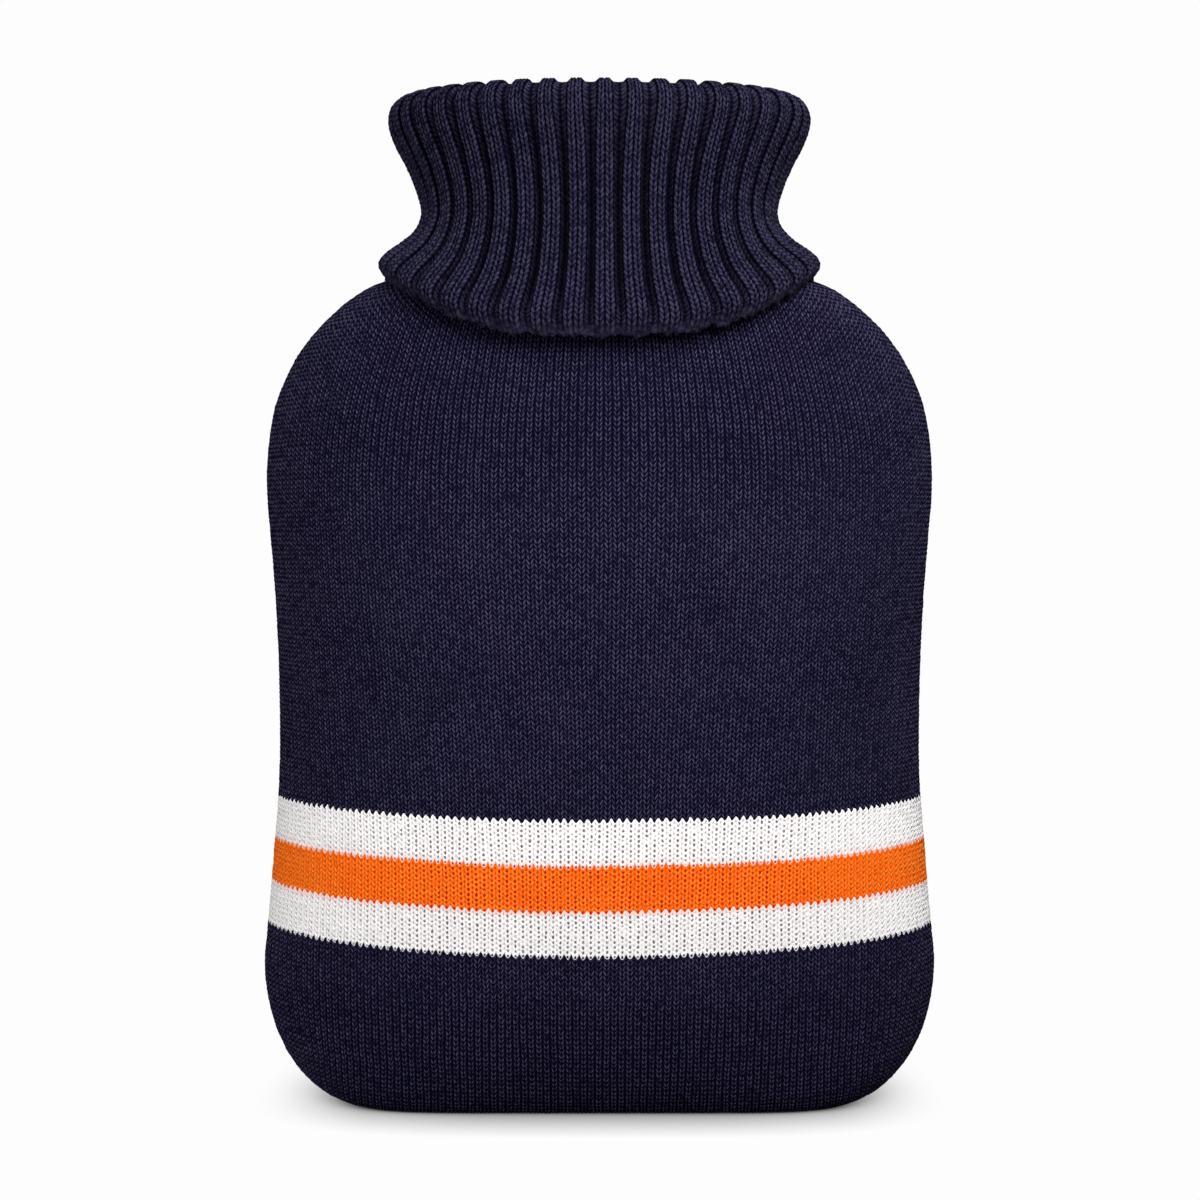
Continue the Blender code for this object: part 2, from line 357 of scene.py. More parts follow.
# %% [markdown]
# Under the collar, along both sides and at the heel the wales are packed closer, so each one
# stands up as a cord with a groove on either side. The limits below say where that starts and
# where it is full. The mesh sinks the wale's edge there, and the material paints shade into the
# groove.

# %% Where the wales stand up as cords
NECK_CORDS, HEEL_CORDS = (80.0, 106.0), (-1.0, -16.0)  # courses above the band's lower edge
SIDE_CORDS = (20.0, 42.0)  # wales from the middle
SIDE_CORD_DEPTH = 0.7  # next to 1 at the neck and the heel
CORD_SINK = 0.5  # of a stitch's height


def cords(wale, course):
    """0 where the knitting is flat and up to 1 where its wales stand up as cords."""
    places = (course, NECK_CORDS), (np.abs(wale), SIDE_CORDS), (course, HEEL_CORDS)
    neck, side, heel = (smoothstep((value - low) / (high - low)) for value, (low, high) in places)
    return np.maximum(np.maximum(neck, heel), side * SIDE_CORD_DEPTH)


# %% [markdown]
# The panel itself puts these together. Every point starts as a wale and a course, moves a little
# at random, is looked up on the bag and is pushed out along the surface's normal by its height in
# the stitch. Wales that would pass the side seam stop at it, and faces wholly past it are left
# out. Where the panel is wider than its wales, at the hip, the outer ones spread. Two triangles
# fill each cell, cut along the line of the leg.

# %% Panel function
SEAM_FADE = 3.0 * MM  # the stitches sink into the side seam over this width
SEAM_SINK = 0.5 * MM
SEAM_SPARE = 2.0 * MM  # the outermost wales spread until they pass the seam by this much


def grid_faces(rows, columns, leans_right):
    """Two triangles for each cell, cut from lower left to upper right where leans_right is true."""
    row, column = np.mgrid[0 : rows - 1, 0 : columns - 1]
    a = (row * columns + column).ravel()
    b, c, d = a + 1, a + columns + 1, a + columns
    right = np.broadcast_to(leans_right, (rows - 1, columns - 1)).ravel()[:, None]
    first = np.where(right, np.stack([a, b, c], 1), np.stack([a, b, d], 1))
    second = np.where(right, np.stack([a, c, d], 1), np.stack([b, c, d], 1))
    return np.stack([first, second], axis=1).reshape(-1, 3)


def read_column(column, row):
    """A column of the bag's table read between its rows."""
    return np.interp(row, np.arange(len(column)), column)


def across_bag(wale, placed, row):
    """Distance of each stitch from the middle: pitch * k - ease * k^3, for its moved wale k.

    Where the last wale falls short of the seam, a share of (wale / widest)^2 is added.
    """
    across = read_column(PITCH, row) * placed - read_column(EASE, row) * placed**3
    wanted = read_column(HALF_LENGTH, row)[:, -1:] + SEAM_SPARE
    short = np.maximum(wanted / np.abs(across[:, -1:]) - 1, 0)
    return across * (1 + short * (wale / WIDEST_WALE) ** 2)


def course_bow(course, along, seamward):
    """How far a course has risen at a place between the middle, 0, and the side seam, 1."""
    to_neck = smoothstep((along - FOOT_LENGTH) / (LINE_LENGTH - FOOT_LENGTH))
    bow = BOW_AT_BAND + (BOW_AT_NECK - BOW_AT_BAND) * to_neck
    return bow * smoothstep(course - FIRST_COURSE) * np.clip(seamward, 0, 1) ** BOW_POWER


def panel_grid(first, last, seed):
    """Points, faces and maps of one panel between two courses, facing -Y."""
    rng = np.random.default_rng(seed)
    wale = np.arange(-WIDEST_WALE, WIDEST_WALE + 1e-9, 1 / COLUMNS_PER_WALE)[None, :]
    course = np.arange(FIRST_COURSE - 1, LAST_COURSE + 1 + 1e-9, 1 / ROWS_PER_COURSE)[:, None]
    shape = (course.size, wale.size)
    drift, lift, plumper = (wander(shape, layers, rng) for layers in (DRIFT, LIFT, PLUMPNESS))
    loose = rng.normal(size=(3, *shape))
    placed = wale + drift + LOOSE_WALE * loose[0]
    risen = course + ZIGZAG * zigzag(wale) + lift + LOOSE_COURSE * loose[1]
    along = FOOT_LENGTH + COURSE * risen
    row = along / TABLE_STEP
    across = across_bag(wale, placed, row)
    seamward = np.abs(across) / read_column(HALF_LENGTH, row)
    row = row + course_bow(course, along, seamward) / TABLE_STEP
    half = read_column(HALF_LENGTH, row)
    beyond = np.abs(across) >= half
    from_middle = np.minimum(np.abs(across), half)
    column = from_middle / half * ACROSS_STEPS
    point, normal = look_up(BAG_POINTS, row, column), look_up(BAG_NORMALS, row, column)
    normal /= np.linalg.norm(normal, axis=2, keepdims=True)
    point[..., 0] *= np.sign(across)
    normal[..., 0] *= np.sign(across)

    row_phase = np.round(course * ROWS_PER_COURSE).astype(int) % ROWS_PER_COURSE
    wale_phase = np.round(wale * COLUMNS_PER_WALE).astype(int) % COLUMNS_PER_WALE
    height = np.array(STITCH_HEIGHT)[row_phase, wale_phase]
    height = height - CORD_SINK * cords(wale, course) * (wale_phase == 2)
    crest = np.clip(height * (1 + plumper) + LOOSE_HEIGHT * loose[2], *CREST_LIMITS)
    at_seam = smoothstep((half - from_middle) / SEAM_FADE)
    push = RELIEF * (crest - ON_SURFACE) * at_seam - SEAM_SINK * (1 - at_seam)
    point = point + normal * push[..., None]

    keep = (course[:, 0] >= first - 1e-9) & (course[:, 0] <= last + 1e-9)
    leans = (np.floor(wale[0, :-1] * 2 + 1e-9).astype(int) % 2) == 0
    faces = grid_faces(int(keep.sum()), wale.size, leans[None, :])
    faces = faces[~beyond[keep].ravel()[faces].all(axis=1)]
    stitches = np.stack(np.broadcast_arrays(wale, course), axis=2)[keep].reshape(-1, 2)
    unwrap = (stitches - (-WIDEST_WALE, first)) / (2 * WIDEST_WALE, last - first)
    return point[keep].reshape(-1, 3), faces, faces, stitches, unwrap, np.zeros(len(stitches))


# %% [markdown]
# ## Putting an array into a mesh
#
# Blender takes whole arrays with foreach_set, far faster than point by point. Each piece gets two
# UV maps: "stitches" counts wales and courses and drives the material, and the second one lays
# the piece out flat between 0 and 1 for baking.


# %% Mesh helper
def add_piece(name, points, faces, corners, stitches, unwrap, shelter, material, replaced, slot):
    """One smooth shaded mesh that rides on the frame and stands for its solid.

    faces counts in points, and corners says the same for the two maps.
    """
    used, faces = np.unique(faces, return_inverse=True)
    faces = faces.reshape(-1, 3)
    mesh = bpy.data.meshes.new(name)
    mesh.vertices.add(len(used))
    mesh.vertices.foreach_set("co", points[used].ravel())
    mesh.loops.add(faces.size)
    mesh.loops.foreach_set("vertex_index", faces.ravel())
    mesh.polygons.add(len(faces))
    mesh.polygons.foreach_set("loop_start", np.arange(0, faces.size, 3))
    mesh.update(calc_edges=True)
    mesh.shade_smooth()
    for title, values in (("stitches", stitches), ("OFBake", unwrap)):
        layer = mesh.uv_layers.new(name=title)
        layer.uv.foreach_set("vector", values[corners].ravel())
    # each point's share of painted shade, which the yarn material darkens towards the channel shade
    mesh.attributes.new("shelter", "FLOAT", "POINT").data.foreach_set("value", shelter[used])
    mesh.materials.append(material)
    piece = bpy.data.objects.new(name, mesh)
    bpy.context.scene.collection.objects.link(piece)
    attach(piece, "root")
    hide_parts(replaced)
    print(f"{name}: {len(faces)} triangles")
    return piece


# %% [markdown]
# ## Yarn
#
# The yarn is a soft two-ply mix of cotton and acrylic, dyed before knitting. It is matt with a
# thin halo of fibres, so it gets full roughness, no gloss and a little sheen. Light hardly
# reaches between the loops, so each colour of yarn is given as four painted shades of light. The
# crest is a painted highlight on the top of a leg and the side is painted shade where it turns
# away. The heart is the opening inside a V, and the shoulder is the smaller one between two
# neighbouring arches. Both are painted shade over the yarn behind them: grey in white yarn, red in
# orange and nearly black in navy.

# %% Shades of the yarn
Yarn = namedtuple("Yarn", "crest side heart shoulder")
NAVY = Yarn("#434059", "#0D0B1F", "#0B091B", "#0B091B")
NAVY_RIB = Yarn("#373549", "#090719", "#060513", "#04030B")
WHITE = Yarn("#FFFEFD", "#F4F0F0", "#75656A", "#BDB2B4")
ORANGE = Yarn("#FF882A", "#F6590D", "#BE1200", "#DA3000")
CHANNEL_SHADE = "#040309"  # painted shade of the navy yarn deep between two ribs
BLUSH = "#FFC4B8"  # white yarn beside orange


# %% [markdown]
# ## Drawing one stitch
#
# The "stitches" map counts wales and courses, so a stitch can be drawn with plain arithmetic in
# three small helpers: nearest folds a count at every stitch, ramp is a soft step, and spot is a
# soft round mark. The relief of the mesh uses the same counts, so the two agree.


# %% Helpers that draw on the grid of stitches
def nearest(tree, value, place):
    """Distance from value to the nearest of place, place + 1, place + 2, and so on."""
    return math(tree, "PINGPONG", math(tree, "SUBTRACT", value, place), 0.5)


def ramp(tree, value, low, high):
    """0 at low, 1 at high, held past them, and an even S-curve in between."""
    limits = {"Value": value, "From Min": low, "From Max": high}
    return add(tree, "ShaderNodeMapRange", limits, interpolation_type="SMOOTHSTEP")


def spot(tree, across, along, width, height):
    """Falls from 1 to 0 while (across / width)^2 + (along / height)^2 goes from 0.15 to 1."""
    x = math(tree, "POWER", math(tree, "DIVIDE", across, width), 2.0)
    y = math(tree, "POWER", math(tree, "DIVIDE", along, height), 2.0)
    return math(tree, "SUBTRACT", 1.0, ramp(tree, math(tree, "ADD", x, y), 0.15, 1.0))


# %% [markdown]
# A folded wale number gives edge, 0 in the middle of a wale and 1 at its edge. Three noises make
# the yarn uneven. They are set by real sizes: fibres under a millimetre apart, loops that differ
# every two millimetres, and wide clouds of two centimetres where the cloth is a little fuller.

# %% A place in the knitting
FIBRE, LOOP, CLOUD = (1500.0, 3.0), (520.0, 1.0), (45.0, 2.0)  # cells per metre, and detail
UNEVEN = 0.50  # courses of wander between neighbouring stitches
Place = namedtuple("Place", "wale course edge fibre loop cloud")


def knit_place(tree):
    """Where a point lies in the knitting, and the three noises there."""
    uv = add(tree, "ShaderNodeSeparateXYZ", {0: add(tree, "ShaderNodeUVMap", uv_map="stitches")})
    wale, course = uv.node.outputs[0], uv.node.outputs[1]
    where = add(tree, "ShaderNodeTexCoord").node.outputs["Object"]
    fibre, loop, cloud = (
        add(tree, "ShaderNodeTexNoise", {"Vector": where, "Scale": scale, "Detail": detail})
        for scale, detail in (FIBRE, LOOP, CLOUD)
    )
    edge = math(tree, "MULTIPLY", nearest(tree, wale, 0.0), 2.0)
    uneven = math(tree, "MULTIPLY", math(tree, "SUBTRACT", loop, 0.5), UNEVEN)
    return Place(wale, math(tree, "ADD", course, uneven), edge, fibre, loop, cloud)


# %% [markdown]
# A leg gets painted light: a highlight along its back, and painted shade on the slanted line
# between it and the next. The two openings are spots of painted shade at fixed places in the
# stitch, and some loops are drawn so tight that theirs don't show.

# %% Legs, openings and light
LEG_RISE = 1.35  # courses that the line between two legs climbs across half a wale
LEG_BACK = (0.08, 0.45)  # courses from that line over which the painted light on the leg rises
HEART_PLACE, SHOULDER_PLACE = 0.42, 0.10  # where in a course the openings lie
TIGHT_LOOPS = (0.2, 0.5)  # noise under the first hides an opening, and over the second shows it
LOOP_LIGHT = (2.6, -0.3)  # a leg's brightness is its noise times the first, plus the second
FIBRE_LIGHT, CLOUD_LIGHT = 0.6, 0.3


def knit_leg(tree, at, joined):
    """Height of a leg's back: sin(pi * edge), which falls to joined on the line between two."""
    slant = math(tree, "MULTIPLY_ADD", at.edge, ZIGZAG - LEG_RISE, at.course)
    back = ramp(tree, nearest(tree, slant, 0.0), *LEG_BACK)
    back = math(tree, "MULTIPLY_ADD", back, 1 - joined, joined)
    return math(tree, "MULTIPLY", back, math(tree, "SINE", math(tree, "MULTIPLY", at.edge, np.pi)))


def knit_openings(tree, at, heart_size, shoulder_size, shown):
    """Masks of painted shade in the opening inside a V and in the one between two arches."""
    level = math(tree, "MULTIPLY_ADD", at.edge, ZIGZAG, at.course)
    heart = spot(tree, at.edge, nearest(tree, level, HEART_PLACE), *heart_size)
    from_edge = math(tree, "SUBTRACT", 1.0, at.edge)
    shoulder = spot(tree, from_edge, nearest(tree, at.course, SHOULDER_PLACE), *shoulder_size)
    shown = math(tree, "MULTIPLY", ramp(tree, at.loop, *TIGHT_LOOPS), shown)
    return [math(tree, "MULTIPLY", opening, shown) for opening in (heart, shoulder)]


def painted_yarn_light(tree, at, leg):
    """Painted light on the yarn, 0 in shade to 1 in full light: its leg, made uneven by the three
    noises.
    """
    light = math(tree, "MULTIPLY", leg, math(tree, "MULTIPLY_ADD", at.loop, *LOOP_LIGHT))
    for noise, strength in ((at.fibre, FIBRE_LIGHT), (at.cloud, CLOUD_LIGHT)):
        light = math(tree, "MULTIPLY_ADD", math(tree, "SUBTRACT", noise, 0.5), strength, light)
    return math(tree, "MINIMUM", math(tree, "MAXIMUM", light, 0.0), 1.0)


# %% [markdown]
# The stripes are chosen by course, so they change along the rounded tops of the loops. The
# opening inside a V shows the yarn of the course below it, in painted shade. White yarn next to
# orange takes on a blush. Light passes through pale yarn and stops in navy, so the painted light
# and shade on navy get more contrast.

# %% Colours of the panels and of the collar
NAVY_CONTRAST, PALE_CONTRAST = 1.3, 0.5  # powers of the painted light
BLUSH_REACH, BLUSH_SHARE = 1.6, 0.5  # courses, and share of the colour
GROOVE_EDGE = (0.45, 0.85)  # where across a wale the painted groove shade starts and is full


def in_bands(tree, course):
    """Two masks that read 1 on the white band's courses and 1 on the orange ones inside it."""
    half = BAND_TOP / 2
    from_middle = math(tree, "ABSOLUTE", math(tree, "SUBTRACT", course, half))
    return [math(tree, "LESS_THAN", from_middle, reach) for reach in (half, BAND_COURSES / 2)]


def pick_yarn(tree, masks, shade):
    """One shade of whichever yarn is knitted here."""
    navy, white, orange = (linear(getattr(yarn, shade)) for yarn in (NAVY, WHITE, ORANGE))
    return mix(tree, masks[1], mix(tree, masks[0], navy, white), orange)


def blushed(tree, course, here, colour):
    """White yarn gets BLUSH mixed in over the first courses from the orange."""
    near = math(tree, "ABSOLUTE", math(tree, "SUBTRACT", course, BAND_TOP / 2))
    orange_edge = BAND_COURSES / 2
    near = math(tree, "SUBTRACT", 1.0, ramp(tree, near, orange_edge, orange_edge + BLUSH_REACH))
    near = math(tree, "MULTIPLY", near, math(tree, "SUBTRACT", here[0], here[1]))
    return mix(tree, math(tree, "MULTIPLY", near, BLUSH_SHARE), colour, linear(BLUSH))


def groove_shade_mask(tree, at, at_side, here):
    """Mask of painted shade in the grooves between cords, in the navy only."""
    neck, heel = (ramp(tree, at.course, *limits) for limits in (NECK_CORDS, HEEL_CORDS))
    side = math(tree, "MULTIPLY", at_side, SIDE_CORD_DEPTH)
    cord = math(tree, "MAXIMUM", math(tree, "MAXIMUM", neck, heel), side)
    groove = math(tree, "MULTIPLY", ramp(tree, at.edge, *GROOVE_EDGE), cord)
    return math(tree, "MULTIPLY", groove, math(tree, "SUBTRACT", 1.0, here[0]))


def panel_colour(tree, at, at_side, light, heart, shoulder):
    """Colour of the striped stockinette; (1 - cos(pi * edge)) / 2 rounds the loops' tops."""
    wave = math(tree, "COSINE", math(tree, "MULTIPLY", at.edge, np.pi))
    rounding = math(tree, "SUBTRACT", at.edge, math(tree, "MULTIPLY_ADD", wave, -0.5, 0.5))
    knitted = math(tree, "MULTIPLY_ADD", rounding, ZIGZAG, at.course)
    here = in_bands(tree, knitted)
    below = in_bands(tree, math(tree, "SUBTRACT", knitted, 1.0))
    through = (math(tree, "MULTIPLY", here[0], below[0]), math(tree, "MAXIMUM", here[1], below[1]))
    contrast = math(tree, "MULTIPLY_ADD", here[0], PALE_CONTRAST - NAVY_CONTRAST, NAVY_CONTRAST)
    crest, side, top = (pick_yarn(tree, here, shade) for shade in ("crest", "side", "shoulder"))
    colour = mix(tree, math(tree, "POWER", light, contrast), side, crest)
    colour = blushed(tree, knitted, here, colour)
    colour = mix(tree, shoulder, colour, top)
    colour = mix(tree, heart, colour, pick_yarn(tree, through, "heart"))
    return mix(tree, groove_shade_mask(tree, at, at_side, here), colour, top)


def rib_colour(tree, light, heart, shoulder):
    """Colour of the navy rib, with its painted highlight, its shade and the painted shade of its
    openings.
    """
    crest, side, heart_shade, top = (linear(shade) for shade in NAVY_RIB)
    colour = mix(tree, math(tree, "POWER", light, NAVY_CONTRAST), side, crest)
    return mix(tree, heart, mix(tree, shoulder, colour, top), heart_shade)


# %% [markdown]
# Both materials are the same yarn, knitted in two ways. In the stockinette the openings close
# towards the sides, where the wales are packed. The rib starts at a fuzzy cast-off edge, and its
# channels are painted darker as shade, by as much as the mesh gives each point. A bump adds what
# the mesh is too coarse for: the twist of the plies and the fibres.

# %% The two yarn materials
SIDE_CLOSING = 0.6  # share of an opening that is lost at the sides
CAST_OFF = (-0.5, 2.2)  # courses over which the cast-off edge turns into stitches
PLIES_PER_LEG, PLY_SLANT = 3.0, 1.3  # turns in a course, and courses that they climb to the edge
PLY_HEIGHT, FIBRE_HEIGHT = 0.07, 0.4
BUMP_HEIGHT, BUMP_STRENGTH = 0.3 * MM, 0.6


def yarn_bump(tree, at, leg, heart, shoulder):
    """Normal from the leg, its plies and fibres, less the openings."""
    turns = math(tree, "MULTIPLY_ADD", at.edge, PLY_SLANT, at.course)
    ply = math(tree, "SINE", math(tree, "MULTIPLY", turns, 2 * np.pi * PLIES_PER_LEG))
    height = math(tree, "MULTIPLY_ADD", ply, PLY_HEIGHT, leg)
    height = math(tree, "MULTIPLY_ADD", at.fibre, FIBRE_HEIGHT, height)
    height = math(tree, "SUBTRACT", height, math(tree, "MAXIMUM", heart, shoulder))
    return add(tree, "ShaderNodeBump",
               {"Strength": BUMP_STRENGTH, "Distance": BUMP_HEIGHT, "Height": height})


def yarn_material(name, striped, heart_size, shoulder_size, joined):
    """Knitted yarn with painted light. joined is how bright it stays on the line between two legs
    of a wale.
    """
    material = bpy.data.materials.new(name)
    material.use_nodes = True
    tree = material.node_tree
    at = knit_place(tree)
    leg = knit_leg(tree, at, joined)
    if striped:
        at_side = ramp(tree, math(tree, "ABSOLUTE", at.wale), *SIDE_CORDS)
        shown = math(tree, "MULTIPLY_ADD", at_side, -SIDE_CLOSING, 1.0)
    else:
        shown = ramp(tree, at.course, *CAST_OFF)
        leg = mix(tree, shown, at.fibre, leg, "FLOAT")
    holes = knit_openings(tree, at, heart_size, shoulder_size, shown)
    light = painted_yarn_light(tree, at, leg)
    if striped:
        colour = panel_colour(tree, at, at_side, light, *holes)
    else:
        colour = rib_colour(tree, light, *holes)
    # The channels, the collar's hidden face and its lip are painted darker, as shade.
    shelter = add(tree, "ShaderNodeAttribute", attribute_name="shelter").node.outputs["Fac"]

    shader = tree.nodes["Principled BSDF"]
    tree.links.new(mix(tree, shelter, colour, linear(CHANNEL_SHADE)), shader.inputs["Base Color"])
    tree.links.new(yarn_bump(tree, at, leg, *holes), shader.inputs["Normal"])
    finish = {"Roughness": 0.95, "Specular IOR Level": 0.0, "Sheen Weight": 0.01,
              "Sheen Roughness": 0.4, "Sheen Tint": linear("#9A9CC0")}
    for setting, value in finish.items():
        shader.inputs[setting].default_value = value
    print(f"{name}: {len(tree.nodes)} nodes")
    return material


STOCKINETTE = yarn_material("yarn_stockinette", True, (0.40, 0.37), (0.27, 0.38), joined=0.0)
RIB_YARN = yarn_material("yarn_rib", False, (0.26, 0.34), (0.30, 0.60), joined=0.3)

# %% [markdown]
# ## The two panels
#
# Each panel is one cloth, but a mesh of all of its stitches would be unwieldy, so it is split
# into two objects where the white stripe ends and navy starts again. The back is the same panel
# turned round, with its own random differences.

# %% Panels
PANEL_SEEDS = {"front_panel": 11, "back_panel": 23}
PARTS = (("foot", FIRST_COURSE - 1, BAND_TOP), ("body", BAND_TOP, LAST_COURSE + 1))


def add_panel(node, seed):
    """Both parts of one panel, turned to face backwards for the back panel."""
    made = []
    for part, first, last in PARTS:
        points, *maps = panel_grid(first, last, seed)
        if node == "back_panel":
            points = points * (-1, -1, 1)
        name = f"{node}_{part}"
        made.append(add_piece(name, points, *maps, STOCKINETTE, node, "stockinette"))
    return made


PANELS = {node: add_panel(node, seed) for node, seed in PANEL_SEEDS.items()}

# %% [markdown]
# ## The roll-neck collar
#
# The collar is a tube of rib knit sewn to the panels' neck edge. It rises, folds outward over the
# brim and falls to a flared hem. The table lists rings from the hem up over the fold and down
# inside. Each hangs lower in front than at its sides, and the same spline as the bag's joins them.

# %% Rings of the collar
Ring = namedtuple("Ring", "side_width side_height front_depth front_height plan")
COLLAR_RINGS = (
    Ring(0.0722, 0.2769, 0.0522, 0.2545, 2.55),  # hem lip
    Ring(0.0741, 0.2800, 0.0540, 0.2581, 2.55),
    Ring(0.0690, 0.2862, 0.0528, 0.2665, 2.50),  # flare
    Ring(0.0624, 0.2915, 0.0498, 0.2765, 2.40),
    Ring(0.0600, 0.2966, 0.0477, 0.2875, 2.3),  # waist
    Ring(0.0610, 0.3035, 0.0470, 0.2990, 2.2),
    Ring(0.0638, 0.3110, 0.0478, 0.3095, 2.2),
    Ring(0.0677, 0.3187, 0.0496, 0.3185, 2.2),
    Ring(0.0705, 0.3255, 0.0514, 0.3257, 2.2),
    Ring(0.0708, 0.3302, 0.0518, 0.3304, 2.2),  # brim
    Ring(0.0685, 0.3344, 0.0498, 0.3346, 2.2),
    Ring(0.0640, 0.3361, 0.0458, 0.3363, 2.2),  # top of the fold
    Ring(0.0592, 0.3344, 0.0424, 0.3344, 2.2),
    Ring(0.0562, 0.3288, 0.0402, 0.3288, 2.2),  # mouth
    Ring(0.0540, 0.3170, 0.0394, 0.3170, 2.1),
    Ring(0.0522, 0.3020, 0.0394, 0.3020, 2.0),  # throat
    Ring(0.0515, 0.2868, 0.0399, 0.2868, 2.0),  # root, above the panels' neck edge
)
COLLAR_WALL = 0.0034  # metres, with the ribs
RIB_COUNT = 44
RIB_SHIFT = 0.19  # ribs, by which they are turned from the middle
FRONT_SPREAD = 0.09  # share by which ribs are wider in front and behind, and closer at the sides
HEM_DROOP_POWER = 2.9
COLLAR_COURSES = 76
RING_STEPS, RING_COUNT = 2881, 260  # points and rings read before they are evened out
AROUND_STEPS, LENGTH_STEPS = 720, 420


def ring_table():
    """Points of the collar's show face, [along, around, xyz], and its length at each station.

    A ring is |x / side_width|^plan + |y / front_depth|^plan = 1, read at even counts of ribs, and
    its height falls from side_height to front_height by 1 - |x / side_width|^power. Each station,
    a line from the hem over the fold to the root, is then read at even shares of its length.
    """
    turn = np.linspace(0, 2 * np.pi, RING_STEPS)
    sine, cosine = np.sin(turn), np.cos(turn)
    middle = (turn[1:] + turn[:-1]) / 2
    even = np.linspace(0, 1, AROUND_STEPS + 1)
    rows = []
    for ring in map(Ring._make, smooth_rows(COLLAR_RINGS, RING_COUNT)):
        x = ring.side_width * np.sign(sine) * np.abs(sine) ** (2 / ring.plan)
        y = -ring.front_depth * np.sign(cosine) * np.abs(cosine) ** (2 / ring.plan)
        pace = np.hypot(np.diff(x), np.diff(y)) / (1 + FRONT_SPREAD * np.cos(2 * middle))
        count = np.concatenate([[0], np.cumsum(pace)])
        x, y = np.interp(even * count[-1], count, x), np.interp(even * count[-1], count, y)
        droop = 1 - np.abs(x / ring.side_width) ** HEM_DROOP_POWER
        level = ring.side_height + (ring.front_height - ring.side_height) * droop
        rows.append(np.stack([x, y, level], axis=1))
    rows = np.array(rows)
    run = np.cumsum(np.linalg.norm(np.diff(rows, axis=0), axis=2), axis=0)
    run = np.concatenate([np.zeros((1, run.shape[1])), run])
    share = np.linspace(0, 1, LENGTH_STEPS + 1)
    stations = [
        np.stack([np.interp(share * r[-1], r, rows[:, j, k]) for k in range(3)], axis=1)
        for j, r in enumerate(run.T)
    ]
    return np.stack(stations, axis=1), run[-1]


def ring_normals(points):
    """Unit normals of the show face, whose last column is its first one again."""
    around = np.roll(points[:, :-1], -1, axis=1) - np.roll(points[:, :-1], 1, axis=1)
    normal = np.cross(around, np.gradient(points[:, :-1], axis=0))
    normal /= np.linalg.norm(normal, axis=2, keepdims=True)
    return np.concatenate([normal, normal[:, :1]], axis=1)


COLLAR_POINTS, COLLAR_LENGTH = ring_table()
COLLAR_NORMALS = ring_normals(COLLAR_POINTS)
print(f"collar length: in front {COLLAR_LENGTH[0] / MM:.0f} mm, at the side "
      f"{COLLAR_LENGTH[AROUND_STEPS // 4] / MM:.0f} mm")

# %% [markdown]
# ## Ribs
#
# The rib is two knit wales side by side, then one wale that is sunk behind them. Twelve columns
# cross it. The rib takes most of its pitch where the collar hangs, and less of it over the fold,
# which stretches the knitting and opens the channels. Rows between those of the second table are
# blended evenly, and one of its columns says how dark the channels are painted as shade.

# %% Rib tables
COLUMNS_PER_RIB = 12
RIB_MIDDLE = 4  # the column on the line between its two wales
RibColumn = namedtuple("RibColumn", "rib_place channel_place sink phase")
RIB_COLUMNS = (
    # rib_place counts half ribs from the rib's middle, channel_place half channels from its edge
    RibColumn(-1.00, 0.00, 0.22, 2),
    RibColumn(-0.77, 0.00, 0.02, 1),
    RibColumn(-0.50, 0.00, 0.00, 0),
    RibColumn(-0.25, 0.00, 0.00, 3),
    RibColumn(0.00, 0.00, 0.06, 2),
    RibColumn(0.25, 0.00, 0.00, 1),
    RibColumn(0.50, 0.00, 0.00, 0),
    RibColumn(0.77, 0.00, 0.02, 3),
    RibColumn(1.00, 0.00, 0.22, 2),
    RibColumn(1.00, 0.35, 0.94, 1),
    RibColumn(1.00, 1.00, 1.00, 0),
    RibColumn(1.00, 1.65, 0.94, 3),
)
# share is of the length from the hem, the fourth column is the painted shade of the channels, and
# relief is of the full height of the stitches
RibRow = namedtuple("RibRow", "share rib_width sink shelter relief")
RIB_ROWS = (
    RibRow(0.00, 0.66, 0.45, 0.25, 1.0),
    RibRow(0.04, 0.69, 0.80, 0.55, 1.0),
    RibRow(0.12, 0.71, 1.00, 0.88, 1.0),
    RibRow(0.36, 0.70, 1.00, 0.88, 1.0),
    RibRow(0.45, 0.64, 1.00, 0.72, 0.9),
    RibRow(0.52, 0.53, 0.90, 0.42, 0.7),
    RibRow(0.57, 0.48, 0.75, 0.25, 0.4),
    RibRow(0.62, 0.46, 0.55, 0.12, 0.3),  # top of the fold
    RibRow(0.70, 0.58, 0.35, 0.30, 0.6),
    RibRow(1.00, 0.70, 0.30, 0.50, 1.0),
)
#                      middle  leg  edge  leg
RIB_STITCH_HEIGHT = ((0.40, 0.82, -0.40, 0.82),  # between two courses
                     (0.10, 1.00, -0.20, 1.00))  # along a course
CHANNEL_DEPTH = 2.4 * MM
RIB_RELIEF = 0.70 * MM
RIB_ON_SURFACE = 0.6  # the stitch height that lies on the ring
RIB_CREST_LIMITS = (-0.4, 1.3)
RIB_DRIFT = ((0.03, (40, 24)),)  # ribs sideways
RIB_LIFT = ((0.10, (24, 60)),)  # courses upwards
RIB_PLUMPNESS = ((0.08, (60, 6)), (0.08, (2, 30)))  # share of a stitch's height
RIB_LOOSE = (0.008, 0.06, 0.08)  # the same three, from point to point
print(f"{RIB_COUNT} ribs of {len(RIB_COLUMNS)} columns and {COLLAR_COURSES} courses")

# %% [markdown]
# The collar's mesh is a closed loop both ways: round the neck, and from the hem over the fold
# down to the root and back along the hidden face. A rib's end hangs a little below the hem line
# and a channel's end stays above it. Along the hem the last course is a cast-off edge, a row of
# uneven knots that turns under.

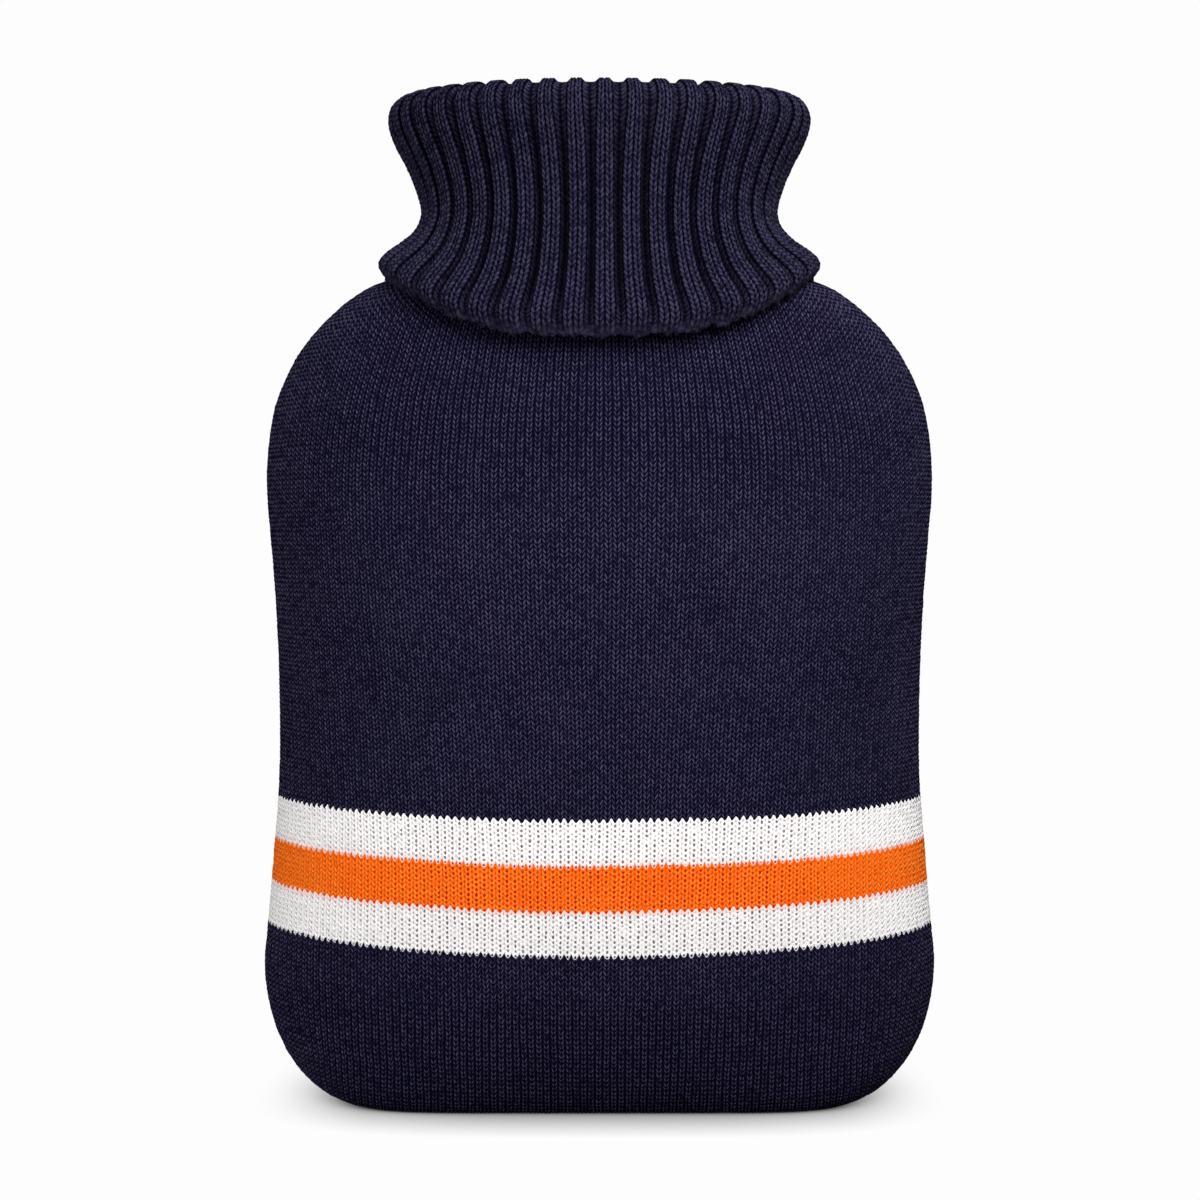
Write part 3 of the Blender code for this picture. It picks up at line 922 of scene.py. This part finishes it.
# %% Faces of the collar
SCALLOP = 0.5 * MM  # how far a rib's end hangs below the hem line, and a channel's end above it
SCALLOP_COURSES, FREE_COURSES = 3, 2  # from the edge, until that ends and the zigzag is full
KNOT_COLUMNS = 4
KNOT_UNEVEN, KNOT_BULGE = 0.2, 0.2  # shares of half the wall
LIP_ROWS, HIDDEN_ROWS, HEM_ROWS = 4, 18, 6  # the way down at the hem is read over the last ones
# painted shade on the collar's hidden face and on the cast-off lip, where little light reaches
HIDDEN_FACE_SHADE, LIP_SHADE = 0.5, 0.15


def show_face(course, rng):
    """Points and normals on the ribs' backs, the way down, each point's push and its painted shade.
    """
    shape = (course.size, RIB_COUNT * COLUMNS_PER_RIB)
    share, *levels = np.array(RIB_ROWS).T
    width, sunk, rib_shade, relief = (
        np.interp(course / COLLAR_COURSES, share, level) for level in levels
    )
    rib = np.repeat(np.arange(RIB_COUNT), COLUMNS_PER_RIB)[None, :]
    columns = np.tile(np.array(RIB_COLUMNS).T, RIB_COUNT)[:, None, :]
    rib_place, channel_place, sink, phase = *columns[:3], columns[3].astype(int)
    drift = wander(shape, RIB_DRIFT, rng) + RIB_LOOSE[0] * rng.normal(size=shape)
    place = rib_place * width / 2 + channel_place * (1 - width) / 2
    station = (rib + place + RIB_SHIFT + drift) / RIB_COUNT % 1 * AROUND_STEPS
    rise = ZIGZAG * np.array([0.0, 0.5, 1.0, 0.5])[phase]
    lift = wander(shape, RIB_LIFT, rng) + RIB_LOOSE[1] * rng.normal(size=shape)
    free = smoothstep(course / FREE_COURSES)
    free = free * smoothstep((COLLAR_COURSES - course) / FREE_COURSES)
    at = (course + (rise + lift) * free) / COLLAR_COURSES * LENGTH_STEPS
    point, normal = look_up(COLLAR_POINTS, at, station), look_up(COLLAR_NORMALS, at, station)
    normal /= np.linalg.norm(normal, axis=2, keepdims=True)
    down = point[:1] - point[HEM_ROWS : HEM_ROWS + 1]
    down /= np.linalg.norm(down, axis=2, keepdims=True)
    wave = np.cos(2 * np.pi * (np.arange(shape[1]) - RIB_MIDDLE) / COLUMNS_PER_RIB)
    hung = SCALLOP * wave * (1 - smoothstep(course / SCALLOP_COURSES))
    row_phase = np.round(course * ROWS_PER_COURSE).astype(int) % ROWS_PER_COURSE
    height = np.array(RIB_STITCH_HEIGHT)[row_phase, phase]
    height = height * (1 + wander(shape, RIB_PLUMPNESS, rng))
    crest = np.clip(height + RIB_LOOSE[2] * rng.normal(size=shape), *RIB_CREST_LIMITS)
    push = RIB_RELIEF * relief * (crest - RIB_ON_SURFACE) - CHANNEL_DEPTH * sink * sunk
    return point + down * hung[..., None], normal, down, push[..., None], rib_shade * sink


def cast_off_lip(hem, out, down, rng):
    """Half rings that turn from the hem's show face under to its hidden one, uneven as knots."""
    columns = hem.shape[1]
    turn = np.linspace(0, np.pi, LIP_ROWS + 2)[1:-1, None, None]
    knots = rng.normal(size=(1, columns // KNOT_COLUMNS)) * KNOT_UNEVEN
    bulge = KNOT_BULGE * np.cos(2 * np.pi * np.arange(columns) / KNOT_COLUMNS)
    radius = COLLAR_WALL / 2 * (1 + np.repeat(knots, KNOT_COLUMNS, axis=1) + bulge)[..., None]
    return hem - out * COLLAR_WALL / 2 + radius * (np.cos(turn) * out + np.sin(turn) * down)


# %% [markdown]
# The two maps need one column and one row more than the points have, so that the last cell
# doesn't run backwards across the whole map. So the faces are made on that larger grid, and its
# last column and row are then folded back onto the first.

# %% Collar
def collar_grid(seed):
    """Points, faces and maps of the collar: hidden face from its root, hem lip, then show face."""
    rng = np.random.default_rng(seed)
    course = np.arange(0, COLLAR_COURSES + 1e-9, 1 / ROWS_PER_COURSE)[:, None]
    point, normal, down, push, rib_shade = show_face(course, rng)
    lip = cast_off_lip(point[:1], normal[:1], down, rng)
    hidden_at = np.round(np.linspace(0, course.size - 1, HIDDEN_ROWS)).astype(int)
    hidden = (point - normal * COLLAR_WALL)[hidden_at]
    points = np.concatenate([hidden[::-1], lip[::-1], point + normal * push])
    rows, columns = points.shape[:2]

    leans = np.tile(np.isin(np.array(RIB_COLUMNS)[:, 3], (0, 1)), RIB_COUNT)
    corners = grid_faces(rows + 1, columns + 1, leans[None, :])
    row, column = np.divmod(corners, columns + 1)
    faces = row % rows * columns + column % columns
    row, column = np.indices((rows + 1, columns + 1)).reshape(2, -1)
    behind = rows - course.size
    stitches = np.stack(
        [column / COLUMNS_PER_WALE + 0.5, (row - behind) / ROWS_PER_COURSE], axis=1)
    unwrap = np.stack([column / columns, row / rows], axis=1)
    # painted shade: half on the hidden face, a little on the lip, and the channels' own on the show
    # face
    shelter = np.concatenate([np.full((HIDDEN_ROWS, columns), HIDDEN_FACE_SHADE),
                              np.full((LIP_ROWS, columns), LIP_SHADE), rib_shade])
    return points.reshape(-1, 3), faces, corners, stitches, unwrap, shelter.ravel()


COLLAR = add_piece("collar_knit", *collar_grid(5), RIB_YARN, "collar", "rib_knit")

# %% [markdown]
# ## Floor and light
#
# A white sweep under soft boxes. The key hangs close in front and above, so the collar and the
# shoulders get more of its light than the foot of the bag. A wide one to the right and a stronger
# one low to the left fill the sides, and one behind lights the back. The floor is overexposed to
# an even white, as paper under studio lamps is, and darkens only within a few centimetres of the
# cover, where the cover hides the light: an ambient occlusion node measures just that. Rays other
# than the camera's see a greyer floor, so that it doesn't light the underside too much.

# %% Floor, lights and surround
FLOOR_HALF = 30.0  # metres
Lamp = namedtuple("Lamp", "name place size power")  # metres and watts
LAMPS = (
    Lamp("key", (0.15, -0.42, 0.52), 0.4, 4.5),
    Lamp("right", (0.90, -0.60, 0.35), 0.7, 1.3),
    Lamp("left", (-0.70, -0.50, 0.10), 0.6, 5.2),
    Lamp("behind", (-0.10, 0.55, 0.62), 0.5, 5.0),
)
AIM = Vector((0.0, 0.0, 0.17))
SEEN, LIGHTING = 0.983, 0.07  # brightness of the white around, as seen, and as light on the cover
BOUNCE = 0.25  # share of the lamps' light that the floor sends back
SHADOW_REACH, SHADOW_POWER = 0.027, 0.95
SHADOW_SIDES = (0.075, 0.120)  # metres from the middle, over which the side lamps wash it out


def floor_white(tree):
    """The floor's brightness to the camera: an even white, less its shadow by the cover."""
    occlusion = add(tree, "ShaderNodeAmbientOcclusion", {"Distance": SHADOW_REACH})
    lit = math(tree, "POWER", occlusion.node.outputs["AO"], SHADOW_POWER)
    place = add(tree, "ShaderNodeTexCoord").node.outputs["Object"]
    aside = math(tree, "ABSOLUTE", add(tree, "ShaderNodeSeparateXYZ", {0: place}))
    kept = math(tree, "SUBTRACT", 1.0, ramp(tree, aside, *SHADOW_SIDES))
    shade = math(tree, "MULTIPLY", math(tree, "SUBTRACT", 1.0, lit), kept)
    return math(tree, "MULTIPLY", math(tree, "SUBTRACT", 1.0, shade), SEEN)


def make_floor():
    """One flat square, an even white to the camera and matt grey to all other rays."""
    points = np.array([(-1, -1, 0), (1, -1, 0), (1, 1, 0), (-1, 1, 0)]) * FLOOR_HALF
    mesh = bpy.data.meshes.new("floor")
    mesh.from_pydata(points.tolist(), [], [(0, 1, 2, 3)])
    floor = bpy.data.objects.new("floor", mesh)
    bpy.context.scene.collection.objects.link(floor)
    material = bpy.data.materials.new("floor_paper")
    material.use_nodes = True
    tree = material.node_tree
    paper = tree.nodes["Principled BSDF"]
    paper.inputs["Base Color"].default_value = (BOUNCE, BOUNCE, BOUNCE, 1.0)
    paper.inputs["Roughness"].default_value = 1.0
    paper.inputs["Specular IOR Level"].default_value = 0.0
    shown = add(tree, "ShaderNodeEmission", {"Strength": floor_white(tree)})
    seen = add(tree, "ShaderNodeLightPath").node.outputs["Is Camera Ray"]
    both = add(tree, "ShaderNodeMixShader", {0: seen, 1: paper.outputs["BSDF"], 2: shown})
    tree.links.new(both, tree.nodes["Material Output"].inputs["Surface"])
    material.cycles.emission_sampling = "NONE"
    mesh.materials.append(material)


def make_lamps():
    """Square soft boxes that face the cover and stay out of the picture themselves."""
    for name, place, size, power in LAMPS:
        data = bpy.data.lights.new(name, "AREA")
        data.size = size
        data.energy = power
        lamp = bpy.data.objects.new(name, data)
        lamp.location = place
        lamp.rotation_euler = (AIM - Vector(place)).to_track_quat("-Z", "Y").to_euler()
        lamp.visible_camera = False
        bpy.context.scene.collection.objects.link(lamp)
        print(f"lamp {name}: {size} m wide, {power} W")


def make_surround():
    """An even white all round, bright to the camera and faint as a light."""
    world = bpy.data.worlds.new("surround")
    world.use_nodes = True
    tree = world.node_tree
    seen = add(tree, "ShaderNodeLightPath").node.outputs["Is Camera Ray"]
    strength = math(tree, "MULTIPLY_ADD", seen, SEEN - LIGHTING, LIGHTING)
    tree.links.new(strength, tree.nodes["Background"].inputs["Strength"])
    tree.nodes["Background"].inputs["Color"].default_value = linear("#FFFFFF")
    bpy.context.scene.world = world


make_floor()
make_lamps()
make_surround()
bpy.context.scene.view_settings.view_transform = "Standard"
